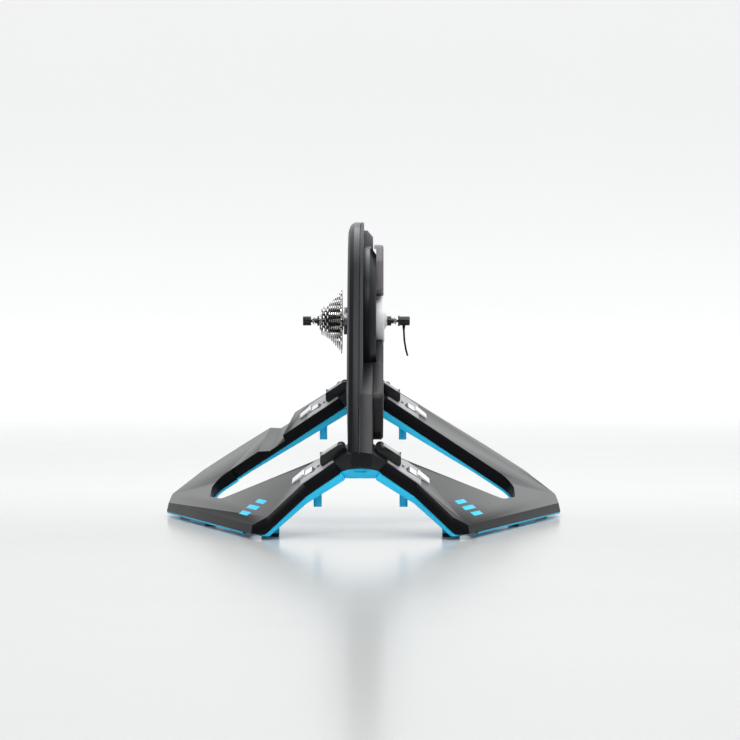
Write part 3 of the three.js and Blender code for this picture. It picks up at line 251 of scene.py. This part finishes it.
def machined(name, colour, rough, stretch, metallic=1.0, marks=0.02 * MM):
    """Turned or brushed metal, its tool marks drawn out along one direction."""
    f = Finish(name, Metallic=metallic)
    lines = f.noise(260.0, 4.0, 0.7, stretch)
    patch = f.noise(30.0, 3.0)
    f.surface(Base_Color=f.blend(lines, tint(colour, 0.82), tint(colour, 1.1)))
    sheen = (lines - 0.5) * 0.22 + (patch - 0.5) * 0.1
    return f.surface(Roughness=sheen + rough, Normal=f.ridge(lines, marks, 0.6))


def turned_face(name, colour, rough):
    """Pale metal faced on a lathe: fine rings round the axle."""
    f = Finish(name, Metallic=0.1)
    rings = (f.from_axle() * 2600.0).wave()
    drift = f.noise(60.0, 3.0)
    f.surface(Base_Color=f.blend(drift, tint(colour, 0.85), tint(colour, 1.05)))
    relief = f.ridge(rings * 0.5 + drift, 0.02 * MM, 0.35)
    return f.surface(Roughness=(drift - 0.5) * 0.16 + rough, Normal=relief)


def cog_steel(name):
    """Cogs: bright teeth on a dark carrier, partly the carriers' own black and partly painted shade deep
    between the cogs, the edge between them at a steady depth below the tips.
    """
    f = Finish(name)
    tips = f.axis("X") * COG_SLOPE + (LARGE_COG_RADIUS - COG_SLOPE * LARGE_COG_X)
    tooth = (f.from_axle() - tips).fading(-TOOTH_DEPTH - TOOTH_BLUR, -TOOTH_DEPTH + TOOTH_BLUR)
    wear = f.noise(420.0, 3.0)
    steel = f.blend(wear, (0.50, 0.49, 0.47), (0.78, 0.77, 0.75))
    # near black below the teeth: black carriers and spacers, with painted shade in the gaps between the
    # cogs
    f.surface(Base_Color=f.blend(tooth, (0.012, 0.012, 0.013), steel), Metallic=tooth * 0.95)
    return f.surface(Roughness=wear * 0.16 + 0.22, Normal=f.ridge(wear, 0.02 * MM, 0.3))


def moulded_rubber(name, colour):
    """Dull rubber with a coarse skin and dust in its hollows."""
    f = Finish(name)
    speck = f.noise(700.0, 3.0, 0.6)
    dust = f.noise(40.0, 4.0)
    f.surface(Base_Color=f.blend(dust, colour, tint(colour, 2.2)))
    return f.surface(Roughness=dust * 0.15 + 0.68, Normal=f.ridge(speck, 0.06 * MM, 0.6))


FINISHES = {
    "cover_plastic": wing_plastic("cover_plastic"),
    "shell_plastic": moulded("shell_plastic", (0.010, 0.011, 0.013), 0.34, 0.13, glossy_top=True),
    "fairing_plastic": fairing_plastic("fairing_plastic"),
    "frame_paint": painted("frame_paint", (0.010, 0.011, 0.013), 0.38),
    "blue_paint": painted("blue_paint", (0.03, 0.61, 0.98), 0.45),
    "bright_steel": machined("bright_steel", (0.66, 0.66, 0.67), 0.24, (0.15, 1.0, 1.0)),
    "latch_steel": machined("latch_steel", (0.47, 0.475, 0.48), 0.5, (1.0, 0.3, 1.0), 0.35, 0.01 * MM),
    "cog_steel": cog_steel("cog_steel"),
    "plain_steel": machined("plain_steel", (0.33, 0.33, 0.34), 0.36, (0.2, 1.0, 1.0)),
    "boss_aluminium": turned_face("boss_aluminium", (0.99, 0.99, 0.985), 0.5),
    "black_plastic": moulded("black_plastic", (0.010, 0.010, 0.011), 0.38),
    "black_metal": painted("black_metal", (0.012, 0.012, 0.013), 0.3, coat=0.15),
    "rubber": moulded_rubber("rubber", (0.012, 0.012, 0.013)),
    # the outer feet's blue is a darker copy of the wings' blue paint: painted shade under the wings' outer
    # edges
    "shaded_foot_blue": moulded("shaded_foot_blue", (0.006, 0.11, 0.20), 0.45),
    "white_plastic": moulded("white_plastic", (0.72, 0.73, 0.74), 0.35),
    "copper": machined("copper", (0.72, 0.32, 0.14), 0.35, (1.0, 1.0, 0.2)),
    "board": moulded("board", (0.01, 0.09, 0.03), 0.4),
}


# Pieces of the frame, softened or dressed as they are

MERGE = 0.002 * MM          # corners of a solid that lie closer than this are one
FLAT_ANGLE = radians(0.6)   # faces of a solid that turn less than this are one
ARC_SKEW = 0.02 * MM        # how far the ends of an arc's chord may differ along the axle
ARC_DRIFT = 0.03 * MM       # and in their distance from it
SMALLEST_ARC = 8 * MM
CHORD_TURN = (radians(6), radians(12.5))
CHORD_CUTS = 3
ARC_RISE_SHARE = 0.006      # how far under its arc a chord's inside may lie, of the radius
LONG_EDGE = 4.0             # an edge is rounded over if it is longer than this many roundings
SHARP_EDGE = radians(28)    # and if its faces turn more than this


def clothe(obj, finish):
    """Gives a piece its finish."""
    obj.data.materials.clear()
    obj.data.materials.append(FINISHES[finish].material)
    return obj


def smooth(mesh, angle):
    mesh.polygons.foreach_set("use_smooth", [True] * len(mesh.polygons))
    mesh.set_sharp_from_angle(angle=radians(angle))


def placed(name, bm, body, finish, angle=32):
    """Makes an object of a mesh, dresses it and lets it ride on a body."""
    bmesh.ops.recalc_face_normals(bm, faces=bm.faces)
    mesh = bpy.data.meshes.new(name)
    bm.to_mesh(mesh)
    bm.free()
    smooth(mesh, angle)
    obj = bpy.data.objects.new(name, mesh)
    bpy.context.scene.collection.objects.link(obj)
    clothe(obj, finish)
    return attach(obj, body)


def polar(point):
    """Radius and angle of a point round the axle."""
    side, up = point.y - AXLE.y, point.z - AXLE.z
    return hypot(side, up), atan2(up, side)


def is_chord(edge):
    """Whether an edge is one chord of a circle round the axle."""
    (r0, a0), (r1, a1) = (polar(v.co) for v in edge.verts)
    turn = abs((a1 - a0 + pi) % (2 * pi) - pi)
    skew = abs(edge.verts[0].co.x - edge.verts[1].co.x)
    least, most = CHORD_TURN
    return skew < ARC_SKEW and abs(r0 - r1) < ARC_DRIFT and r0 > SMALLEST_ARC and least < turn < most


def fine_arcs(bm):
    """Splits the chords of circles round the axle and moves the new corners out onto the arcs."""
    chords = [edge for edge in bm.edges if is_chord(edge)]
    radii = sorted({round(polar(v.co)[0], 5) for edge in chords for v in edge.verts})
    split = bmesh.ops.subdivide_edges(bm, edges=chords, cuts=CHORD_CUTS, use_grid_fill=False)
    for v in (g for g in split["geom_inner"] if isinstance(g, bmesh.types.BMVert)):
        r, a = polar(v.co)
        target = next((arc for arc in radii if 0 <= arc - r < ARC_RISE_SHARE * arc), r)
        v.co.y, v.co.z = AXLE.y + target * cos(a), AXLE.z + target * sin(a)


def clean_solid(node):
    """The CAD solid with the seams between its triangles taken out."""
    bm = bmesh.new()
    bm.from_mesh(frame["nodes"][node].data)
    bmesh.ops.remove_doubles(bm, verts=bm.verts, dist=MERGE)
    bmesh.ops.dissolve_limit(
        bm, angle_limit=FLAT_ANGLE, use_dissolve_boundaries=False, verts=bm.verts, edges=bm.edges,
    )
    return bm


def softened(node, finish, width, arcs):
    """The CAD solid with its arcs drawn finer, if asked, and its long edges rounded over."""
    bm = clean_solid(node)
    if arcs:
        fine_arcs(bm)
    if width:
        edges = [
            e for e in bm.edges
            if len(e.link_faces) == 2 and e.calc_length() > LONG_EDGE * width * MM
            and e.calc_face_angle(0) > SHARP_EDGE
        ]
        bmesh.ops.bevel(
            bm, geom=edges, offset=width * MM, segments=2, profile=0.5, affect="EDGES",
            offset_type="OFFSET", clamp_overlap=True,
        )
    obj = placed("soft_" + node, bm, BODY_OF[node], finish, 40)
    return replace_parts(obj, node)


# node: (finish, edge rounding in mm, draw arcs finer)
DRESS = {
    "frame_casting": ("frame_paint", 0.6, True),
    "drive_side_cover": ("shell_plastic", 0.8, True),
    "motor_cover": ("shell_plastic", 0.8, True),
    "rear_cover": ("fairing_plastic", 0.8, True),
    "electronics_housing": ("fairing_plastic", 0.8, True),
    "axle_boss": ("boss_aluminium", 0.4, True),
    "axle_tube": ("plain_steel", 0.0, True),
    "right_axle_collar": ("black_metal", 0.3, True),
    "left_axle_nut": ("black_metal", 0.3, True),
    "rotor_bell": ("plain_steel", 0.4, True),
    "outer_bearing": ("bright_steel", 0.0, True),
    "freehub_body": ("plain_steel", 0.0, True),
    "quick_release_skewer": ("black_metal", 0.3, False),
    "quick_release_lever": ("black_metal", 0.5, False),
    "quick_release_nut": ("black_metal", 0.2, False),
    "front_bridge": ("blue_paint", 0.6, False),
    "rear_bridge": ("blue_paint", 0.6, False),
    "power_inlet": ("black_plastic", 0.2, False),
    "cassette_lockring": ("bright_steel", 0.2, True),
}
for side in SIDES:
    DRESS[f"{side}_wing_cover"] = ("cover_plastic", 1.2, False)
    DRESS[f"{side}_wing_frame"] = ("blue_paint", 0.6, False)
    for foot, finish in (("front", "rubber"), ("outer", "shaded_foot_blue"), ("rear", "rubber")):
        DRESS[f"{side}_{foot}_foot"] = (finish, 0.8, False)
    for leg in LEGS:
        DRESS[f"{side}_{leg}_latch_plate"] = ("latch_steel", 0.3, False)
        DRESS[f"{side}_{leg}_release_lever"] = ("white_plastic", 0.4, False)
        DRESS[f"{side}_{leg}_lock_strut"] = ("black_metal", 0.5, False)
        DRESS[f"{side}_{leg}_hinge_pin"] = ("bright_steel", 0.2, False)

for node, (finish, width, arcs) in DRESS.items():
    softened(node, finish, width, arcs)

PLAIN = {
    "large_cog_cluster": "cog_steel", "middle_cog_cluster": "cog_steel",
    "cog_14": "cog_steel", "cog_13": "cog_steel", "cog_12": "cog_steel", "cog_11": "cog_steel",
    "stator_core": "plain_steel", "coil_ring": "copper", "magnet_ring": "plain_steel",
    "inner_bearing": "bright_steel", "control_board": "board",
    "right_skewer_spring": "bright_steel", "left_skewer_spring": "bright_steel",
}
for node, finish in PLAIN.items():
    clothe(frame["nodes"][node], finish)


# What the wings and lock struts carry on their tops, with painted shade in the latch plates' holes and
# round their tongues


def rectangle(first_u, last_u, first_v, last_v):
    """Corners on a wing in millimetres: u out from the hinges, v along them from the axle to the rear."""
    return [(first_u, first_v), (last_u, first_v), (last_u, last_v), (first_u, last_v)]


LATCH_V = {"front": -284.0, "rear": 98.6}   # the middle of each latch plate
STRUT_ASIDE = -17.0                         # from there to the middle of its lock strut
MARK_FOOT = -0.5                            # the details on a latch plate start this far below its top
LATCH_MARKS = {                             # name: (corners, height, finish)
    # the three black sheets are painted shade: the inside of the square hole, the shadow under the
    # tongue's inner rear corner and the gap round the tongue
    "square_hole": (rectangle(31, 36, -10, -2), 0.7, "black_plastic"),
    "tongue_shadow": ([(39, -12), (45, -12), (45, 9)], 0.7, "black_plastic"),
    "tongue_edge": (rectangle(46, 61.4, -15.5, 13), 0.6, "black_plastic"),
    "tongue_root": (rectangle(47, 61, -14, 11.6), 1.3, "white_plastic"),
}
STRUT_FOOT = 16.6
STRUT_MARKS = {                             # name: (corners, height)
    "top_strip": (rectangle(-18.5, 16.5, -7.4, 7.4), 17.3),
    "catch": (rectangle(12.0, 16.4, -5.5, 5.5), 19.6),
}
STRIPE_CENTRE = Vector((172.0, -280.0))
STRIPE_SLANT = Vector((0.4215, 0.907))
STRIPE_PITCH = 16.5
STRIPE_STAGGER = 4.0
STRIPE_HALF_WIDTH = 4.6
STRIPE_HALF_LENGTH = 29.0
STRIPE_SHORTER = 5.0                        # what the outer two lack of the middle one's half length
STRIPE_FOOT = -0.3
STRIPE_HEIGHT = 0.12
RIM = 0.05                                  # height over which a flat piece's upper edge draws in
RIM_SHARE = 0.004                           # and how far, of the way to its middle


def on_wing(side, u, v, n):
    """The place in the frame of a point on a wing, n millimetres out of its top."""
    flip = SIDES[side]
    across = Vector((flip * cos(DROOP), sin(RISE) * sin(DROOP), -cos(RISE) * sin(DROOP)))
    along = Vector((0, cos(RISE), sin(RISE)))
    out = Vector((flip * sin(DROOP), -sin(RISE) * cos(DROOP), cos(RISE) * cos(DROOP)))
    return Vector((flip * HINGE_X, AXLE.y, HINGE_Z)) + (across * u + along * v + out * n) * MM


def slab(name, side, corners, low, high, finish, body):
    """A flat piece between two heights over its corners, with slightly drawn-in upper edges."""
    bm = bmesh.new()
    middle = Vector((sum(u for u, v in corners), sum(v for u, v in corners))) / len(corners)
    rings = []
    for n, draw in ((low, 0.0), (high - RIM, 0.0), (high, RIM_SHARE)):
        drawn = [Vector(corner).lerp(middle, draw) for corner in corners]
        rings.append([bm.verts.new(on_wing(side, u, v, n)) for u, v in drawn])
    count = len(corners)
    for lower, upper in zip(rings, rings[1:]):
        for i in range(count):
            bm.faces.new((lower[i], lower[(i + 1) % count], upper[(i + 1) % count], upper[i]))
    bm.faces.new(rings[0])
    bm.faces.new(rings[-1])
    return placed(name, bm, body, finish)


def wing_stripes(side):
    """Three plain slanting stripes near the front corner of a wing."""
    step = Vector((STRIPE_SLANT.y, -STRIPE_SLANT.x))
    for i in range(3):
        out = i - 1
        middle = STRIPE_CENTRE + step * (STRIPE_PITCH * out) + STRIPE_SLANT * (STRIPE_STAGGER * out)
        half = step * STRIPE_HALF_WIDTH
        tilt = STRIPE_SLANT * (STRIPE_HALF_LENGTH - STRIPE_SHORTER * abs(out))
        corners = [middle - half - tilt, middle + half - tilt, middle + half + tilt, middle - half + tilt]
        name = f"{side}_wing_stripe_{i + 1}"
        slab(name, side, corners, STRIPE_FOOT, STRIPE_HEIGHT, "blue_paint", f"{side}_wing")


def latch_details(side, leg):
    """On a latch plate, black sheets of painted shade in the square hole, under the raised tongue's inner
    rear corner and as an outline round the tongue's root, and the root itself.
    """
    for name, (corners, high, finish) in LATCH_MARKS.items():
        moved = [(u, v + LATCH_V[leg]) for u, v in corners]
        slab(f"{side}_{leg}_latch_{name}", side, moved, MARK_FOOT, high, finish, f"{side}_wing")


def strut_top(side, leg):
    """A bright strip let into a lock strut's top, with a raised catch at its outer end."""
    body = f"{side}_{leg}_strut"
    for name, (corners, high) in STRUT_MARKS.items():
        moved = [(u, v + LATCH_V[leg] + STRUT_ASIDE) for u, v in corners]
        slab(f"{body}_{name}", side, moved, STRUT_FOOT, high, "latch_steel", body)


for side in SIDES:
    wing_stripes(side)
    for leg in LEGS:
        latch_details(side, leg)
    for leg in LEGS:
        strut_top(side, leg)


# The neck's front, in millimetres of the frame

NECK_TOP = 147.0
NECK_FOOT = 121.5
NECK_FRONT = (-250.8, -248.6)   # at the top and at the foot
NECK_BACK = (-244.0, -240.0)
NECK_EDGE = 0.6
# name: (left side, right side, how much lower the right side's front starts)
NECK_FACETS = {"left": (-15.0, -3.3, 0.0), "right": (-1.4, 18.0, 3.0)}


def hull_piece(name, points, finish, body, width):
    """A small solid block through its corner points, given in millimetres, with softened edges."""
    bm = bmesh.new()
    for point in points:
        bm.verts.new(Vector(point) * MM)
    bmesh.ops.convex_hull(bm, input=bm.verts)
    bmesh.ops.dissolve_limit(bm, angle_limit=radians(1), verts=bm.verts, edges=bm.edges)
    bmesh.ops.bevel(bm, geom=list(bm.edges), offset=width * MM, segments=2, profile=0.6, affect="EDGES")
    return placed(name, bm, body, finish)


def neck_trim():
    """The neck's two facets run on in front of the block down to the front bridge."""
    for name, (left, right, drop) in NECK_FACETS.items():
        points = []
        for x, lower in ((left, 0.0), (right, drop)):
            points += [(x, NECK_BACK[0], NECK_TOP), (x, NECK_FRONT[0], NECK_TOP - lower)]
            points += [(x, NECK_BACK[1], NECK_FOOT), (x, NECK_FRONT[1], NECK_FOOT)]
        hull_piece(f"neck_{name}_facet", points, "shell_plastic", "frame", NECK_EDGE)


neck_trim()


# Floor, backdrop, light and camera, in metres

FLOOR_HALF_WIDTH = 12.0
FLOOR_FRONT = -14.0
FLOOR_BACK = 9.0
BACKDROP_RADIUS = 3.0
BACKDROP_STEPS = 16
BACKDROP_TOP = 12.0
TILE_WIDTH = 0.503
TILE_DEPTH = 0.56
TILE_X = 0.005
TILE_Y = -0.077
JOINT_X = 0.0009
JOINT_Y = 0.0022


def floor_profile():
    """The floor's line from front to back and up into the backdrop."""
    profile = [(FLOOR_FRONT, 0.0), (FLOOR_BACK, 0.0)]
    for i in range(1, BACKDROP_STEPS + 1):
        turn = pi / 2 * i / BACKDROP_STEPS
        profile.append((FLOOR_BACK + BACKDROP_RADIUS * sin(turn), BACKDROP_RADIUS * (1 - cos(turn))))
    profile.append((FLOOR_BACK + BACKDROP_RADIUS, BACKDROP_TOP))
    return profile


def tile_joints(f, x, y):
    """Thin joints between tiles that are laid like bricks."""
    row = ((y - TILE_Y) * (1 / TILE_DEPTH)).math("FLOOR")
    shifted = x - TILE_X + row.math("FLOORED_MODULO", 2.0) * (TILE_WIDTH / 2)
    across = shifted.repeat(TILE_WIDTH / 2).below(JOINT_X)
    return (across + (y - TILE_Y).repeat(TILE_DEPTH / 2).below(JOINT_Y)).clipped()


def pale_floor():
    """Glossy pale tiles near the trainer, brighter and plain towards the back and up the backdrop."""
    f = Finish("pale_floor", Specular_IOR_Level=0.5, Emission_Strength=1.0)
    x, y = f.axis("X"), f.axis("Y")
    near = (1.2 - y).fading(0.0, 1.6)
    far = y.fading(1.5, 7.0)
    wall = y.fading(7.5, 10.0)
    cloud = f.noise(1.3, 3.0)
    pale = f.blend(cloud, (0.470, 0.480, 0.473), (0.507, 0.514, 0.507))
    f.surface(Base_Color=f.blend(tile_joints(f, x, y) * near * 0.10, pale, (0.5, 0.52, 0.54)))
    low = f.blend(near, (0.14, 0.14, 0.14), (0.02, 0.02, 0.02))
    glow = f.blend(wall, f.blend(far, low, (0.36, 0.36, 0.36)), (0.70, 0.70, 0.705))
    return f.surface(Roughness=cloud * 0.06 + 0.16, Emission_Color=glow)


def stage_floor():
    """A large pale floor that runs up into a pale backdrop."""
    bm = bmesh.new()
    ends = (-FLOOR_HALF_WIDTH, FLOOR_HALF_WIDTH)
    rows = [[bm.verts.new((x, y, z)) for x in ends] for y, z in floor_profile()]
    for lower, upper in zip(rows, rows[1:]):
        bm.faces.new((lower[0], lower[1], upper[1], upper[0]))
    mesh = bpy.data.meshes.new("floor_and_backdrop")
    bm.to_mesh(mesh)
    bm.free()
    smooth(mesh, 60)
    floor = bpy.data.objects.new("floor_and_backdrop", mesh)
    bpy.context.scene.collection.objects.link(floor)
    mesh.materials.append(pale_floor().material)


def lamp(name, place, aim, size, watts):
    data = bpy.data.lights.new(name, "AREA")
    data.shape = "RECTANGLE"
    data.size, data.size_y = size
    data.energy = watts
    obj = bpy.data.objects.new(name, data)
    obj.location = place
    obj.rotation_euler = (Vector(aim) - Vector(place)).to_track_quat("-Z", "Y").to_euler()
    bpy.context.scene.collection.objects.link(obj)


def light_studio():
    """Softboxes above and high in front, faint panels at the sides, and a room that is dark in front."""
    lamp("overhead_softbox", (0.2, 0.5, 3.0), (0, 0.0, 0), (3.0, 3.6), 70)
    lamp("high_front_softbox", (0.3, -2.9, 3.1), (0, 0.0, 0.2), (3.2, 1.4), 105)
    lamp("left_panel", (-3.4, -1.6, 1.9), (0, 0, 0.2), (1.2, 1.6), 4)
    lamp("right_panel", (3.4, -1.4, 2.1), (0, 0, 0.2), (1.2, 1.6), 4)
    world = bpy.data.worlds.new("pale_room")
    bpy.context.scene.world = world
    room = Finish.room(world)
    towards = room.axis("Y") * 0.8 + room.axis("Z") * 0.6
    light = room.blend(towards.fading(-0.1, 0.75), (0.12, 0.123, 0.128), (0.96, 0.98, 1.0))
    seen = room.node("ShaderNodeLightPath", {}, {}, "Is Camera Ray")
    room.surface(Color=room.blend(seen, light, (0.55, 0.56, 0.57)), Strength=0.97)


def place_camera():
    """Camera at the photograph's place: low and far away, turned slightly left and down."""
    data = bpy.data.cameras.new("camera")
    data.sensor_fit = "HORIZONTAL"
    data.sensor_width = 36.0
    data.lens = 120.58
    data.clip_end = 60
    camera = bpy.data.objects.new("camera", data)
    camera.location = (0.052, -4.4595, 0.360)
    yaw, pitch = radians(0.485), radians(1.008)
    heading = Vector((-sin(yaw) * cos(pitch), cos(yaw) * cos(pitch), -sin(pitch)))
    camera.rotation_euler = heading.to_track_quat("-Z", "Y").to_euler()
    bpy.context.scene.collection.objects.link(camera)
    bpy.context.scene.camera = camera


stage_floor()
light_studio()
place_camera()
bpy.context.scene.view_settings.view_transform = "Standard"
